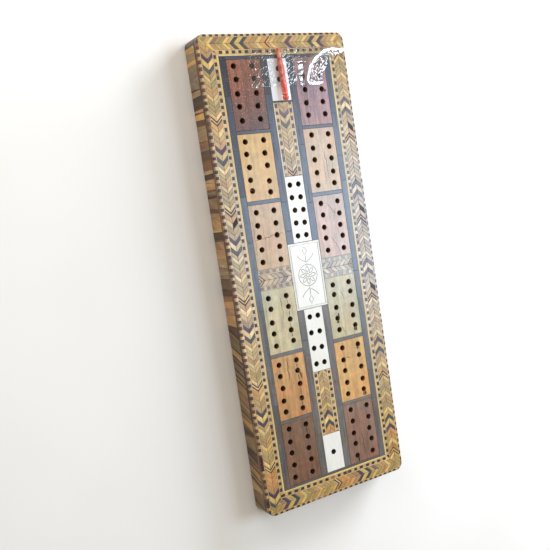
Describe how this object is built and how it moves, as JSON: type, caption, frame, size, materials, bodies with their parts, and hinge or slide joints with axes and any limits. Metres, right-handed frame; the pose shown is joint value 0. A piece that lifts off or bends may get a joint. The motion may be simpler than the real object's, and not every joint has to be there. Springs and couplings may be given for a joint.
{
  "type": "cribbage board",
  "caption": "Oblong cribbage board with drilled scoring panels, inlaid plates, herringbone borders, parquetry sides and one loose turned peg taped to its face.",
  "frame": {"origin": "centre of the board's underside, where it rests on a table", "axes": "+Z out of the face with the peg holes, +Y along the board's length towards the end where the peg lies, +X across the board"},
  "size_m": [0.09, 0.25, 0.0184],
  "materials": {
    "core_wood": "matte",
    "side_parquetry": "satin",
    "border_banding": "satin",
    "stringing": "satin",
    "dyed_ground": "satin",
    "herringbone_strip": "satin",
    "rosewood": "satin",
    "satinwood": "satin",
    "mauve_wood": "satin",
    "olive_wood": "satin",
    "orange_wood": "satin",
    "walnut": "satin",
    "bone": "satin",
    "red_peg": "gloss",
    "clear_tape": "gloss"
  },
  "bodies": {
    "board": {"border_banding_far": "border_banding", "border_banding_left": "border_banding", "border_banding_near": "border_banding", "border_banding_right": "border_banding", "centre_plaque": "bone", "core_board": "core_wood", "eight_hole_plate": "bone", "ground_column_left_far": "dyed_ground", "ground_column_left_near": "dyed_ground", "ground_column_right_far": "dyed_ground", "ground_column_right_near": "dyed_ground", "ground_divider_left_1": "dyed_ground", "ground_divider_left_2": "dyed_ground", "ground_divider_left_3": "dyed_ground", "ground_divider_left_4": "dyed_ground", "ground_divider_right_1": "dyed_ground", "ground_divider_right_2": "dyed_ground", "ground_divider_right_3": "dyed_ground", "ground_divider_right_4": "dyed_ground", "ground_edge_left": "dyed_ground", "ground_edge_right": "dyed_ground", "ground_end_far": "dyed_ground", "ground_end_near": "dyed_ground", "ground_plate_joint": "dyed_ground", "herringbone_cross_left": "herringbone_strip", "herringbone_cross_right": "herringbone_strip", "herringbone_middle_far": "herringbone_strip", "herringbone_middle_near": "herringbone_strip", "peg_plate_far": "bone", "peg_plate_near": "bone", "side_parquetry_far": "side_parquetry", "side_parquetry_left": "side_parquetry", "side_parquetry_near": "side_parquetry", "side_parquetry_right": "side_parquetry", "stringing_far": "stringing", "stringing_left": "stringing", "stringing_near": "stringing", "stringing_right": "stringing", "ten_hole_plate": "bone", "track_panel_left_1": "rosewood", "track_panel_left_2": "satinwood", "track_panel_left_3": "mauve_wood", "track_panel_left_4": "olive_wood", "track_panel_left_5": "orange_wood", "track_panel_left_6": "walnut", "track_panel_right_1": "rosewood", "track_panel_right_2": "satinwood", "track_panel_right_3": "mauve_wood", "track_panel_right_4": "olive_wood", "track_panel_right_5": "orange_wood", "track_panel_right_6": "walnut"},
    "peg": {"scoring_peg": "red_peg", "clear_tape": "clear_tape"}
  },
  "joints": [
    {"name": "peg_lift", "type": "slide", "parent": "board", "child": "peg", "axis": [0, 0, 1], "range_m": [0, 0.04]}
  ]
}
